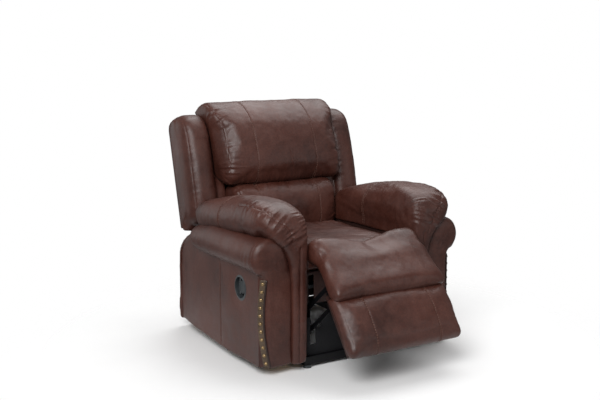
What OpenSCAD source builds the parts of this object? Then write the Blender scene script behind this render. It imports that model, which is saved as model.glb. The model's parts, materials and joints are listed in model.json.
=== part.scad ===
// Recliner armchair with rolled arms, pillow-topped armrests, winged back and a
// folding chaise footrest. Millimetres, +Z up. The chair faces -Y, and the
// sitter's right hand is at -X. The origin is on the floor under the middle of
// the whole chair, with the footrest partly out.

/* [Overall] */
// Distance from the mid-plane to the inner face of an arm
inner_half = 273; // [271:1:276]
// Distance from the mid-plane to the outer face of an arm, at the front
outer_half = 462; // [460:1:464]
// Height of the underside of the upholstery above the floor
hem_z = 34; // [28:1:38]

/* [Arms] */
// Radius of the roll along the outside of an arm
roll_r = 72; // [68:1:74]
// Height of the middle of the roll
roll_z = 470; // [466:1:474]
// Thickness of the boards in the arms and the back
board_t = 12; // [10:1:14]
// Angle by which the outer side of an arm narrows towards the rear
side_taper = 2.1; // [1.9:0.1:2.3]

/* [Back] */
// Angle of the back from upright
back_tilt = 14.5; // [14:0.1:15]
// Half the width across the wings
wing_half = 447; // [443:1:450]
// Half the width of the head pillow
head_half = 297; // [290:1:298]

/* [Footrest] */
// Half the width of the footrest
foot_half = 261; // [250:1:262]
// Length of the footrest panel from its top edge to its foot edge
foot_len = 240; // [230:1:244]
// Angle of the footrest from upright
foot_angle = 36.8; // [36:0.1:38]

/* [Mechanism] */
// Width of the flat steel links
link_w = 20; // [18:1:22]
// Thickness of the flat steel links
link_t = 4; // [3:0.5:4]
// Radius of the pivot pins
pin_r = 5; // [4:0.1:5.5]
// Radius of the drive tube that joins the two rear cranks
tube_r = 12; // [11:0.1:13]
// Distance from the footrest's turning point to the upper links' pins
upper_r = 150; // [146:1:154]
// Distance from the footrest's turning point to the lower links' pins
lower_r = 240; // [236:1:242]

/* [Hidden] */
$fn = 48;

leather = "#5b3427";
leather_dark = "#4a2a20";
plywood = "#c9a774";
steel = "#26282b";
zinc = "#a9adb0";
mid_y = 118;
run_fit = 0.06;
open_fit = 1.5;

// Arms
front_y = -385;
rear_y = 394;
pad_rear_y = 210;
pad_in = 266;
pad_out = 455;
roll_x = 428;
roll_rear_y = 236;
strip_out = 333;
frame_in = inner_half + 4 + board_t;
corner_x = 457;

// Release handle, in the outer side of the right arm
cup_y = -220;
cup_z = 320;
cup_r = 48;
cup_depth = 32;
lever_turn_y = 24;

// Back: its frame of reference lies on the outside face, level with the arms
back_y = 348;
back_z = 437;
post_in = 232;
post_out = 262;
hinge_y = 312;
hinge_z = 418;
hinge_boss = 17;
panel_foot = 80;
head_top_half = 324;

// Seat
seat_z0 = 388;
seat_half = 258;
rail_top = 383;
plate_in = 223;
plate_t = 5;

// Footrest: top edge of its front face, and the point that it turns about
foot_y = -583;
foot_z = 336;
turn_y = -455;
turn_z = 490;

// Linkage: the two crank pivots lie on a line through the turning point
base_dir = [0.766, -0.643];
crank_dir = [-0.1196, -0.9928];
front_pivot = [turn_y, turn_z] + 190 * base_dir;
rear_pivot = [turn_y, turn_z] + 330 * base_dir;
crank_x = 217;
coupler_x = 211;
inner_link_x = 205;
latch_y = -34;
latch_z = 76;

function arc(c, r, a0, a1, n = 12) =
    [for (i = [0 : n]) let (a = a0 + (a1 - a0) * i / n) c + r * [cos(a), sin(a)]];
function along(p, r) = p + r * crank_dir;

// The whole chair is drawn about the arms' middle and then centred on its depth
module centred() translate([0, mid_y, 0]) children();

// Draws on the +X side, or mirrored on the -X side
module sided(s) mirror([s < 0 ? 1 : 0, 0, 0]) children();

// Extrudes a (Y, Z) outline from x0 to x0 + t
module plate(x0, t) translate([x0, 0, 0]) rotate([90, 0, 90]) linear_extrude(t) children();

// Lays a block between two corners
module block(lo, hi) translate(lo) cube(hi - lo);

// Round bar along X
module bar_x(x0, x1, p, r) translate([x0, p[0], p[1]]) rotate([0, 90, 0]) cylinder(r = r, h = x1 - x0);

// Flat link outline with round ends
module link2d(p, q, w) {
    a = atan2(q[1] - p[1], q[0] - p[0]);
    polygon(concat(arc(p, w / 2, a + 90, a + 270), arc(q, w / 2, a - 90, a + 90)));
}

// Outer side of the arm: x = 0 is the outer face, y = 0 the front
module on_side() translate([outer_half, front_y + 0.4, 0]) rotate([0, 0, side_taper]) children();

// Frame of reference of the tilted back
module on_back() translate([0, back_y, back_z]) rotate([-back_tilt, 0, 0]) children();

// Frame of reference of the footrest: y = 0 is its front face, z = 0 its top edge
module on_foot() translate([0, foot_y, foot_z]) rotate([-foot_angle, 0, 0]) children();

// Zigzag wire spring along +Y, as a flat strip
module zigzag(len, swing, pitch, wire) {
    n = round(len / pitch) * 8;
    function spot(i) = [swing * sin(360 * len / pitch * i / n), len * i / n];
    function side(i) = let (d = spot(i + 0.5) - spot(i - 0.5)) [d[1], -d[0]] / norm(d) * wire / 2;
    linear_extrude(wire) polygon(concat([for (i = [0 : n]) spot(i) + side(i)],
                                        [for (i = [n : -1 : 0]) spot(i) - side(i)]));
}

// ---- Base and arms -------------------------------------------------------

// Steel runner on the floor side, under the edge of the seat
module base_rail(s) color(steel) centred() sided(s) block([236, -374, 22], [256, 358, 50]);

// Front and rear steel cross rails
module cross_rails() color(steel) centred() {
    block([-265, -395, 12], [265, -374, 45]);
    block([-265, 358, 12], [265, 374, 45]);
}

// Four glides under the ends of the cross rails
module feet() color("#17181a") centred()
    for (s = [-1, 1], y = [-384, 366]) translate([s * 247, y, 0]) cylinder(r = 17, h = 12);

// Hardwood posts and rails between the two boards of an arm
module arm_frame(s) color(plywood) centred() sided(s) {
    block([frame_in, front_y, hem_z + 2], [428, front_y + 25, 388]);
    block([frame_in, 340, hem_z + 2], [408, 365, 340]);
    block([frame_in, front_y + 25, hem_z + 2], [frame_in + 90, 340, hem_z + 20]);
    block([frame_in, front_y + 25, 440], [346, 150, 470]);
}

// Board on the seat side of an arm, up to the pillow
module arm_inner(s) color(leather_dark) centred() sided(s) difference() {
    plate(inner_half + 4, board_t)
        polygon([[front_y, hem_z + 2], [rear_y - 16, hem_z + 2], [rear_y - 16, 350], [345, 408],
                 [pad_rear_y, 474], [front_y, 538]]);
    if (s < 0) bar_x(inner_half, inner_half + 20, [cup_y, 60], 5);
}

// Board on the outer side of an arm, with the opening for the handle on the right
module arm_side(s) color(leather) centred() sided(s) on_side() difference() {
    plate(-board_t, board_t)
        polygon([[6, hem_z], [776, hem_z + 8], [778, 358], [755, 400], [732, 422], [630, 474],
                 [630, 396], [6, 396]]);
    if (s < 0) bar_x(-20, 20, [cup_y - front_y, cup_z], cup_r - 2);
}

// Panel that closes the rear of an arm and its sloping shoulder
module arm_back(s) color(leather) centred() sided(s) plate(frame_in, 416 - frame_in)
    polygon([[rear_y, hem_z], [rear_y, 356], [370, 398], [347, 420], [238, 474], [238, 462],
             [338, 412], [360, 390], [rear_y - 13, 352], [rear_y - 13, hem_z]]);

// Padded roll along the outside of an arm
module arm_roll(s) color(leather) centred() sided(s) translate([roll_x, 0, roll_z]) {
    translate([0, roll_rear_y - roll_r, 0]) sphere(r = roll_r);
    translate([0, roll_rear_y - roll_r, 0]) rotate([90, 0, 0])
        cylinder(r = roll_r, h = roll_rear_y - roll_r - front_y);
}

// Pillow on top of an arm, lying over the roll
module arm_pad(s) color(leather) centred() sided(s) difference() {
    union() {
        plate(pad_in, pad_out - pad_in)
            polygon([[pad_rear_y, 482], [pad_rear_y, 592], [190, 608], [120, 628], [-40, 650],
                     [-290, 670], [-392, 672], [-432, 655], [-450, 622], [-450, 585], [-430, 556],
                     [-400, 546]]);
        plate(pad_in, 10)
            polygon([[pad_rear_y, 472], [pad_rear_y, 500], [front_y + 1, 580], [front_y + 1, 472]]);
    }
    translate([roll_x, 400, roll_z]) rotate([90, 0, 0]) cylinder(r = roll_r + 4, h = 900);
}

// Frame of reference of the slanted front corner of an arm: +X points out of it
module on_corner() translate([corner_x, front_y, 0]) rotate([0, 0, -45]) children();

// Scroll-shaped panel on the front of an arm
module arm_front(s) color(leather) centred() sided(s) difference() {
    translate([0, front_y, 0]) rotate([90, 0, 0]) linear_extrude(20) {
        polygon([[strip_out, hem_z], [446, hem_z], [461, 93], [461, 400], [roll_x, 540],
                 [385, 527], [355, 495], [340, 450], [strip_out, 400]]);
        translate([roll_x, roll_z]) circle(r = roll_r + 3);
    }
    on_corner() block([0, -60, hem_z - 5], [40, 40, 396]);
}

// Strip of the pillow that falls down the front of the arm
module arm_drop(s) color(leather) centred() sided(s)
    block([pad_in, front_y - 32, hem_z], [strip_out - 1, front_y, 540]);

// Curve of the nailed strip, as (Y, Z) on the slanted corner of the arm
function trim_at(t) = [18 * sin(180 * t) - 22 + 12 * t, 40 + 347 * t];

// Leather strip under the nailheads
module nail_trim() color(leather_dark) centred() for (s = [-1, 1]) sided(s) on_corner() plate(0, 4) {
    n = 16;
    polygon(concat([for (i = [0 : n]) trim_at(i / n) - [14, 0]],
                   [for (i = [n : -1 : 0]) trim_at(i / n) + [12, 0]]));
}

// Domed brass nails down the strip
module nailheads() color("#a8834a") centred() {
    count = 11;
    for (s = [-1, 1], i = [0 : count - 1]) sided(s) on_corner() {
        p = trim_at((i + 0.5) / count);
        translate([4, p[0], p[1]]) rotate([0, 90, 0]) intersection() {
            translate([0, 0, -3]) sphere(r = 8, $fn = 24);
            cylinder(r = 8, h = 6, $fn = 24);
        }
    }
}

// Upholstered panel between the rear ends of the arms
module rear_apron() color(leather) centred() block([-276, 375, hem_z + 12], [276, 387, 395]);

// Black cover behind the front cross rail, open where the links swing
module front_skirt() color("#131314") centred() translate([0, -371, 0]) rotate([90, 0, 0])
    linear_extrude(3) for (s = [-1, 1]) mirror([s < 0 ? 1 : 0, 0])
        polygon([[-1, 12], [234, 12], [234, 51], [264, 51], [264, 200], [226, 200], [226, 88],
                 [201, 88], [201, 155], [176, 155], [176, 200], [-1, 200]]);

// ---- Release handle ------------------------------------------------------

// Frame of reference of the cup: +Z points out of the side of the arm
module on_cup() centred() sided(-1) on_side()
    translate([0, cup_y - front_y, cup_z]) rotate([0, 90, 0]) children();

// Round cup let into the outer side of the arm
module handle_cup() color("#1d1f22") on_cup() difference() {
    rotate_extrude() polygon([[0, -cup_depth], [cup_r - 8, -cup_depth], [cup_r - 2, -cup_depth + 6],
                              [cup_r - 2, 0], [cup_r + 4, 0], [cup_r + 4, 2.5], [cup_r - 5, 4],
                              [cup_r - 6, -cup_depth + 8], [cup_r - 11, -cup_depth + 3.5],
                              [0, -cup_depth + 3.5]]);
    translate([0, lever_turn_y, -10]) rotate([0, 90, 0]) cylinder(r = 2.5, h = 90, center = true);
}

// Pin that the lever turns on, across the rear of the cup
module handle_pin() color(zinc) on_cup()
    translate([0, lever_turn_y, -10]) rotate([0, 90, 0]) cylinder(r = 2.5, h = 66, center = true);

// Finger lever in the cup
module handle_lever() color("#2a2d31") on_cup() difference() {
    union() {
        translate([0, lever_turn_y, -10]) rotate([0, 90, 0]) cylinder(r = 5.5, h = 40, center = true);
        translate([-20, 0, -13]) cube([40, lever_turn_y, 6]);
        translate([0, 2, -13]) cylinder(r = 26, h = 6);
    }
    translate([0, lever_turn_y, -10]) rotate([0, 90, 0])
        cylinder(r = 2.5 + run_fit, h = 90, center = true);
}

// Sheathed cable from the cup down to the latch
module release_cable() color("#101112") centred() sided(-1) {
    r = 3.5;
    bend = 30;
    x0 = 422;
    x1 = 372;
    z1 = 60;
    bar_x(x1, x0, [cup_y, cup_z], r);
    translate([x1, cup_y, cup_z - bend]) rotate([90, 0, 0]) rotate([0, 0, 90])
        rotate_extrude(angle = 90) translate([bend, 0]) circle(r = r);
    translate([x1 - bend, cup_y, z1 + bend]) cylinder(r = r, h = cup_z - z1 - 2 * bend);
    translate([x1 - 2 * bend, cup_y, z1 + bend]) rotate([90, 0, 0]) rotate([0, 0, -90])
        rotate_extrude(angle = 90) translate([bend, 0]) circle(r = r);
    bar_x(257, x1 - 2 * bend, [cup_y, z1], r);
}

// Bracket and pin that carry the latch, on the right-hand runner
module latch_bracket() color(zinc) centred() sided(-1) {
    block([232, latch_y - 16, 50], [256, latch_y + 16, 54]);
    block([232, latch_y - 16, 54], [235, latch_y + 16, latch_z + 10]);
    bar_x(225, 232, [latch_y, latch_z], 4);
}

// Hook that holds the rear crank while the footrest is folded
module latch_pawl() color(zinc) centred() sided(-1) difference() {
    plate(227, link_t) {
        link2d([latch_y, latch_z], [latch_y - 62, latch_z + 22], 12);
        link2d([latch_y - 60, latch_z + 20], [latch_y - 68, latch_z + 4], 8);
    }
    bar_x(220, 240, [latch_y, latch_z], 4 + run_fit);
}

// ---- Seat ----------------------------------------------------------------

// Front rail across the seat
module seat_rail_front() color(plywood) centred() block([-262, -358, rail_top - 14], [262, -330, rail_top]);

// Rear rail across the seat
module seat_rail_rear() color(plywood) centred() block([-plate_in, 126, 350], [plate_in, 154, rail_top]);

// Side rail of the seat
module seat_rail(s) color(plywood) centred() sided(s)
    block([plate_in + plate_t, -330, 340], [262, 154, rail_top]);

// Zigzag springs from the front rail to the rear rail
module seat_springs() color(zinc) centred()
    for (i = [-2 : 2]) translate([i * 90, -352, rail_top]) zigzag(500, 22, 50, 4);

// Seat cushion with its raised front
module seat_cushion() color(leather) centred() plate(-seat_half, 2 * seat_half)
    polygon([[160, seat_z0], [160, 462], [130, 470], [-200, 470], [-290, 480], [-350, 502],
             [-395, 518], [-430, 514], [-443, 498], [-398, 494], [-390, 440], [-390, seat_z0]]);

// Covered panel that hangs from the front rail, slotted for the links
module seat_valance() color(leather_dark) centred() difference() {
    block([-seat_half, -364, 252], [seat_half, -358, rail_top]);
    for (s = [-1, 1]) sided(s) block([199, -370, 240], [234, -350, 372]);
}

// Steel side plate that carries the crank pivots and the back's hinge
module mech_plate(s) color(steel) centred() sided(s) difference() {
    plate(plate_in, plate_t) {
        polygon([[-328, rail_top], [-328, 345], [-240, 254], [-165, 254], [-120, 330], [70, 330],
                 [70, 62], [110, 62], [110, 322], [250, 322], [250, 350], [166, 350],
                 [150, rail_top]]);
        polygon([[-310, 340], [-310, 62], [-280, 62], [-280, 330]]);
        link2d([242, 340], [hinge_y, hinge_z], link_w);
        translate([hinge_y, hinge_z]) circle(r = hinge_boss);
    }
    bar_x(plate_in - 5, plate_in + 15, rear_pivot, tube_r + run_fit);
    bar_x(plate_in - 5, plate_in + 15, front_pivot, pin_r + run_fit);
    bar_x(plate_in - 5, plate_in + 15, [hinge_y, hinge_z], 6 + run_fit);
}

// Plastic shoes that slide on the runners
module glide_blocks() color("#e4e2da") centred() for (s = [-1, 1], y = [-318, 62]) sided(s)
    block([plate_in + plate_t, y, 50.3], [258, y + 56, 74]);

// ---- Back ----------------------------------------------------------------

// Upright post of the back's frame
module back_post(s) color(plywood) centred() sided(s) on_back() block([post_in, -54, -60], [post_out, -12, 500]);

// Top rail of the back's frame
module back_rail_top() color(plywood) centred() on_back() block([-post_in, -54, 455], [post_in, -12, 500]);

// Bottom rail of the back's frame
module back_rail_bottom() color(plywood) centred() on_back() block([3 - post_in, -48, 8], [post_in - 3, -12, 48]);

// Zigzag springs from the bottom rail to the top rail
module back_springs() color(zinc) centred() on_back() for (i = [-1.5 : 1.5])
    translate([i * 110, -54, 12]) rotate([90, 0, 0]) zigzag(484, 24, 48.4, 4);

// Outside back panel, narrow where it drops between the arms
module back_panel() color(leather) centred() on_back()
    rotate([90, 0, 0]) linear_extrude(board_t)
        polygon([[-post_out, -panel_foot], [post_out, -panel_foot], [post_out, 22], [wing_half, 22],
                 [wing_half, 480], [410, 517], [-410, 517], [-wing_half, 480], [-wing_half, 22],
                 [-post_out, 22]]);

// Head pillow, rolled over the top of the back
module head_pillow() color(leather) centred() on_back() {
    plate(-head_half, 2 * head_half)
        polygon(concat([[-62, 226], [-150, 216], [-200, 206], [-222, 226], [-232, 300], [-226, 400],
                        [-205, 480]], arc([-120, 492], 82, 160, 90, 4),
                       [[-60, 573], [-26, 560], [-14, 540], [-62, 540], [-62, 504]]));
    plate(-head_top_half, 2 * head_top_half)
        polygon([[-156, 528], [-130, 560], [-80, 571], [-40, 562], [-20, 545], [-16, 528]]);
}

// Lumbar pillow, between the arms
module lumbar_pillow() color(leather) centred() plate(-seat_half, 2 * seat_half)
    polygon([[186, 364], [174, 420], [152, 490], [150, 540], [160, 600], [182, 640], [215, 662],
             [300, 666], [338, 652], [292, 474], [250, 458], [214, 374]]);

// Padded wing beside the head pillow
module wing(s) color(leather) centred() sided(s) on_back() plate(head_half + 4, wing_half - head_half - 4)
    polygon([[-board_t - 2, 22], [-122, 36], [-146, 80], [-156, 200], [-158, 380], [-150, 462],
             [-128, 506], [-90, 523], [-40, 523], [-board_t - 2, 508]]);

// Steel brackets and hinge bolts that join the back to the side plates
module back_brackets() color(steel) centred() for (s = [-1, 1]) sided(s) {
    plate(post_in - 3, 3) link2d([hinge_y, hinge_z], [hinge_y + 28, hinge_z + 108], 30);
    bar_x(plate_in - 3, post_in - 1, [hinge_y, hinge_z], 6);
    bar_x(plate_in - 6, plate_in - 2, [hinge_y, hinge_z], 11);
}

// ---- Footrest ------------------------------------------------------------

// Plywood board of the footrest
module footrest_board() color(plywood) centred() on_foot() block([-250, 44, -foot_len + 14], [250, 60, 26]);

// Padded panel of the footrest
module footrest_pad() color(leather) centred() on_foot() plate(-foot_half, 2 * foot_half)
    polygon([[8, 0], [43, 0], [43, -foot_len + 12], [36, -foot_len], [10, -foot_len], [0, -foot_len + 14],
             [-4, -foot_len / 2], [0, -10]]);

// Padded chaise between the seat and the footrest
module chaise_pad() color(leather) centred() on_foot() plate(-foot_half, 2 * foot_half)
    polygon([[4, 192], [56, 184], [56, 30], [43, 30], [43, 4], [6, 3], [-16, 12], [-24, 34], [-20, 80],
             [-10, 140]]);

// Steel brackets behind the footrest, with the links' outer pins
module footrest_brackets() color(steel) centred() for (s = [-1, 1]) sided(s) {
    plate(inner_link_x, link_t) {
        link2d(along([turn_y, turn_z], upper_r), along([turn_y, turn_z], lower_r), link_w + 4);
        translate([foot_y, foot_z]) rotate(-foot_angle)
            polygon([[60, -130], [60, 24], [78, 74], [140, -6], [90, -130]]);
    }
    on_foot() block([inner_link_x - 34, 60, -130], [inner_link_x, 64, 20]);
    for (r = [upper_r, lower_r])
        bar_x(inner_link_x + 1, coupler_x + link_t + 1, along([turn_y, turn_z], r), pin_r);
}

// ---- Footrest linkage ----------------------------------------------------

// Tube that turns both rear cranks together
module drive_tube() color(zinc) centred() difference() {
    bar_x(-plate_in - plate_t - 2, plate_in + plate_t + 2, rear_pivot, tube_r);
    bar_x(-300, 300, rear_pivot, tube_r - 2);
}

// Rear cranks, fixed on the drive tube
module rear_cranks() color(steel) centred() for (s = [-1, 1]) sided(s) {
    difference() {
        plate(crank_x, link_t) {
            link2d(rear_pivot, along(rear_pivot, lower_r), link_w);
            translate(rear_pivot) circle(r = tube_r + 6);
        }
        bar_x(crank_x - 5, crank_x + 10, rear_pivot, tube_r);
        for (r = [upper_r, lower_r])
            bar_x(crank_x - 5, crank_x + 10, along(rear_pivot, r), pin_r + run_fit);
    }
}

// Front cranks with their seat pins and link pins
module front_cranks() color(steel) centred() for (s = [-1, 1]) sided(s) {
    plate(inner_link_x, link_t) link2d(front_pivot, along(front_pivot, lower_r), link_w);
    bar_x(inner_link_x + 1, plate_in + plate_t - 0.5, front_pivot, pin_r);
    for (r = [upper_r, lower_r])
        bar_x(inner_link_x + 1, coupler_x + link_t + 1, along(front_pivot, r), pin_r);
}

// Link between the rear crank, the front crank and the footrest, on both sides
module couplers(r) color(steel) centred() for (s = [-1, 1]) sided(s) {
    difference() {
        plate(coupler_x, link_t) link2d(along(rear_pivot, r), along([turn_y, turn_z], r), link_w - 2);
        for (p = [front_pivot, [turn_y, turn_z]])
            bar_x(coupler_x - 5, coupler_x + 10, along(p, r), pin_r + open_fit);
    }
    bar_x(coupler_x + 1, crank_x + link_t + 1, along(rear_pivot, r), pin_r);
}

base_rail(-1);  // base_rail_right
base_rail(1);  // base_rail_left
cross_rails();
feet();
arm_frame(-1);  // arm_frame_right
arm_frame(1);  // arm_frame_left
arm_inner(-1);  // arm_inner_right
arm_inner(1);  // arm_inner_left
arm_side(-1);  // arm_side_right
arm_side(1);  // arm_side_left
arm_back(-1);  // arm_back_right
arm_back(1);  // arm_back_left
arm_roll(-1);  // arm_roll_right
arm_roll(1);  // arm_roll_left
arm_pad(-1);  // arm_pad_right
arm_pad(1);  // arm_pad_left
arm_front(-1);  // arm_front_right
arm_front(1);  // arm_front_left
arm_drop(-1);  // arm_drop_right
arm_drop(1);  // arm_drop_left
nail_trim();
nailheads();
rear_apron();
front_skirt();
handle_cup();
handle_pin();
release_cable();
latch_bracket();
handle_lever();
latch_pawl();
seat_rail_front();
seat_rail_rear();
seat_rail(-1);  // seat_rail_right
seat_rail(1);  // seat_rail_left
seat_springs();
seat_cushion();
seat_valance();
mech_plate(-1);  // mech_plate_right
mech_plate(1);  // mech_plate_left
glide_blocks();
back_post(-1);  // back_post_right
back_post(1);  // back_post_left
back_rail_top();
back_rail_bottom();
back_springs();
back_panel();
head_pillow();
lumbar_pillow();
wing(-1);  // wing_right
wing(1);  // wing_left
back_brackets();
footrest_board();
footrest_pad();
chaise_pad();
footrest_brackets();
drive_tube();
rear_cranks();
front_cranks();
couplers(upper_r);  // upper_couplers
couplers(lower_r);  // lower_couplers
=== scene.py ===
# Looks of the recliner armchair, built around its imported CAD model. Metres, +Z up.
import json
import math

import bmesh
import bpy
import numpy as np
from mathutils import Matrix, Vector, geometry


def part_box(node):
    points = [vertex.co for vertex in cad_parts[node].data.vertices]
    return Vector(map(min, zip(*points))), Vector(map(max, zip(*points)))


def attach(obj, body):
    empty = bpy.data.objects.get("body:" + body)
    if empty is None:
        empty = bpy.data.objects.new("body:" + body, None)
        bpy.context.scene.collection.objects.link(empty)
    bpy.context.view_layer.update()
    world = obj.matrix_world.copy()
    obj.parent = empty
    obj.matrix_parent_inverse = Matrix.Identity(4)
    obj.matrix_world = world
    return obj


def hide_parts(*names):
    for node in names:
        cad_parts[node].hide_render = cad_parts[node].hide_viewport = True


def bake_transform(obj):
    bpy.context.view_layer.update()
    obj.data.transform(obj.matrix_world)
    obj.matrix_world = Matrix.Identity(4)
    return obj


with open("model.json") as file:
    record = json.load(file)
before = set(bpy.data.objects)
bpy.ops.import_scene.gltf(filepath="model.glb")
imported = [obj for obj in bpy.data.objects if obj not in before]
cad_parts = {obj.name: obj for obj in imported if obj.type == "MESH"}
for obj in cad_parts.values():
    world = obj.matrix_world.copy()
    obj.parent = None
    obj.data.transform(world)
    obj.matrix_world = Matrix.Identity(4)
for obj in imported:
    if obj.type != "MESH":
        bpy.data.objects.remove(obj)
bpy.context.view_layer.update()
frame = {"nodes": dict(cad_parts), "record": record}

# ---- Camera --------------------------------------------------------------

CAMERA_AT = Vector((-2.192, -3.363, 1.2985))
CAMERA_WAY = Vector((0.5178, 0.8390, -0.1673))
CAMERA_LENS = 57.36


def add_camera():
    data = bpy.data.cameras.new("camera")
    data.lens = CAMERA_LENS
    data.sensor_width = 36
    data.clip_end = 60
    camera = bpy.data.objects.new("camera", data)
    camera.location = CAMERA_AT
    camera.rotation_euler = CAMERA_WAY.to_track_quat("-Z", "Y").to_euler()
    bpy.context.scene.collection.objects.link(camera)
    bpy.context.scene.camera = camera


add_camera()

# ---- Places taken from the frame -----------------------------------------

MID_Y = 0.118                                   # how far the drawing's origin lies behind the chair's middle
OUTER_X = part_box("arm_side_left")[1].x           # outer face of an arm, at the front
CORNER_Y = -0.385 + MID_Y                        # where an arm's side ends and its slanted corner starts
WING_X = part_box("wing_left")[1].x
HEAD_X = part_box("head_pillow")[1].x
HEAD_SIDE_X = HEAD_X - 0.022                     # the head pillow's sides, between the wings
HEAD_FLARE = 0.075                               # how much wider its top is, where it lies over the wings
FOOT_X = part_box("footrest_pad")[1].x
SEAT_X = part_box("seat_cushion")[1].x
SIDE_TAPER = math.radians(2.1)

BACK_TILT = math.radians(14.5)
BACK_AT = Vector((0, 0.348 + MID_Y, 0.437))
FOOT_TILT = math.radians(36.8)
FOOT_AT = Vector((0, -0.583 + MID_Y, 0.336))

ARM_SPACE = Matrix.Translation((0, MID_Y, 0))
BACK_SPACE = Matrix.Translation(BACK_AT) @ Matrix.Rotation(-BACK_TILT, 4, "X")
FOOT_SPACE = Matrix.Translation(FOOT_AT) @ Matrix.Rotation(-FOOT_TILT, 4, "X")
SIDE_SPACE = Matrix.Translation((OUTER_X, CORNER_Y, 0)) @ Matrix.Rotation(SIDE_TAPER, 4, "Z")
CORNER_TURN = Matrix.Rotation(math.radians(-45), 4, "Z")
CORNER_SPACE = Matrix.Translation((OUTER_X - 0.0048, CORNER_Y, 0)) @ CORNER_TURN
MIRROR = Matrix.Scale(-1, 4, (1, 0, 0))
SIDES = ((-1, "right"), (1, "left"))

# ---- Materials -----------------------------------------------------------


class Nodes:
    """Short calls for a material's node tree."""

    def __init__(self, name):
        self.mat = bpy.data.materials.new(name)
        self.mat.use_nodes = True
        self.tree = self.mat.node_tree
        self.shader = self.tree.nodes["Principled BSDF"]
        self.coords = self.add("ShaderNodeTexCoord").outputs["Object"]

    def add(self, kind, **settings):
        node = self.tree.nodes.new(kind)
        for key, value in settings.items():
            setattr(node, key, value)
        return node

    def link(self, out, to):
        self.tree.links.new(out, to)

    def put(self, **values):
        for key, value in values.items():
            self.shader.inputs[key.replace("_", " ")].default_value = value

    def noise(self, scale, detail=4, rough=0.5, distort=0.0):
        node = self.add("ShaderNodeTexNoise")
        node.inputs["Scale"].default_value = scale
        node.inputs["Detail"].default_value = detail
        node.inputs["Roughness"].default_value = rough
        node.inputs["Distortion"].default_value = distort
        self.link(self.coords, node.inputs["Vector"])
        return node.outputs["Fac"]

    def cells(self, scale, feature="DISTANCE_TO_EDGE"):
        node = self.add("ShaderNodeTexVoronoi", feature=feature)
        node.inputs["Scale"].default_value = scale
        self.link(self.coords, node.inputs["Vector"])
        return node.outputs["Distance"]

    def ramp(self, value, *stops):
        node = self.add("ShaderNodeValToRGB")
        ramp = node.color_ramp
        while len(ramp.elements) < len(stops):
            ramp.elements.new(0.5)
        for element, (at, colour) in zip(ramp.elements, stops):
            element.position = at
            element.color = (*colour, 1) if len(colour) == 3 else colour
        self.link(value, node.inputs["Fac"])
        return node.outputs["Color"]

    def span(self, value, low, high, from_low=0.3, from_high=0.7):
        node = self.add("ShaderNodeMapRange")
        limits = {"From Min": from_low, "From Max": from_high, "To Min": low, "To Max": high}
        for key, number in limits.items():
            node.inputs[key].default_value = number
        self.link(value, node.inputs["Value"])
        return node.outputs["Result"]

    def mix(self, factor, a, b, kind="MIX"):
        node = self.add("ShaderNodeMix", data_type="RGBA", blend_type=kind)
        for socket, value in ((node.inputs[0], factor), (node.inputs[6], a), (node.inputs[7], b)):
            if isinstance(value, bpy.types.NodeSocket):
                self.link(value, socket)
            elif isinstance(value, tuple):
                socket.default_value = (*value, 1)
            else:
                socket.default_value = value
        return node.outputs[2]

    def bump(self, height, strength, distance, under=None):
        node = self.add("ShaderNodeBump")
        node.inputs["Strength"].default_value = strength
        node.inputs["Distance"].default_value = distance
        self.link(height, node.inputs["Height"])
        if under is not None:
            self.link(under, node.inputs["Normal"])
        return node.outputs["Normal"]

    def finish(self, colour=None, rough=None, normal=None):
        for out, name in ((colour, "Base Color"), (rough, "Roughness"), (normal, "Normal")):
            if out is not None:
                self.link(out, self.shader.inputs[name])
        return self.mat


def leather_material(name, deep, mid, worn, seed_shift=0.0):
    n = Nodes(name)
    broad = n.noise(3.2 + seed_shift, 3, 0.55, 0.4)
    patchy = n.noise(17 + seed_shift, 5, 0.6, 0.6)
    fine = n.noise(140, 3, 0.6)
    colour = n.ramp(broad, (0.30, deep), (0.52, mid), (0.74, worn))
    colour = n.mix(n.span(patchy, 0.0, 0.55, 0.40, 0.72), colour, worn)
    colour = n.mix(n.span(fine, 0.0, 0.35), colour, deep, "MULTIPLY")
    grain = n.cells(620)
    crease = n.noise(46, 6, 0.62, 1.4)
    normal = n.bump(grain, 0.14, 0.0006)
    normal = n.bump(crease, 0.16, 0.0030, normal)
    normal = n.bump(broad, 0.25, 0.02, normal)
    n.put(Coat_Weight=0.04, Coat_Roughness=0.26, Specular_IOR_Level=0.45)
    return n.finish(colour, n.span(patchy, 0.41, 0.55), normal)


def plain_material(name, colours, rough, scale=60, bump=0.1, **settings):
    n = Nodes(name)
    speckle = n.noise(scale, 4, 0.6)
    n.put(**settings)
    return n.finish(n.ramp(speckle, (0.35, colours[0]), (0.65, colours[1])),
                    n.span(speckle, rough[0], rough[1]), n.bump(speckle, bump, 0.0008))


def wood_material():
    n = Nodes("hardwood")
    stretch = n.add("ShaderNodeMapping")
    stretch.inputs["Scale"].default_value = (3, 22, 22)
    n.link(n.coords, stretch.inputs["Vector"])
    n.coords = stretch.outputs["Vector"]
    rings = n.noise(2.4, 6, 0.6, 2.2)
    pores = n.noise(30, 3, 0.5)
    colour = n.ramp(rings, (0.3, (0.42, 0.27, 0.14)), (0.7, (0.68, 0.50, 0.31)))
    return n.finish(n.mix(n.span(pores, 0, 0.3), colour, (0.30, 0.18, 0.09)), n.span(pores, 0.55, 0.75),
                    n.bump(rings, 0.2, 0.001))


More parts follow.
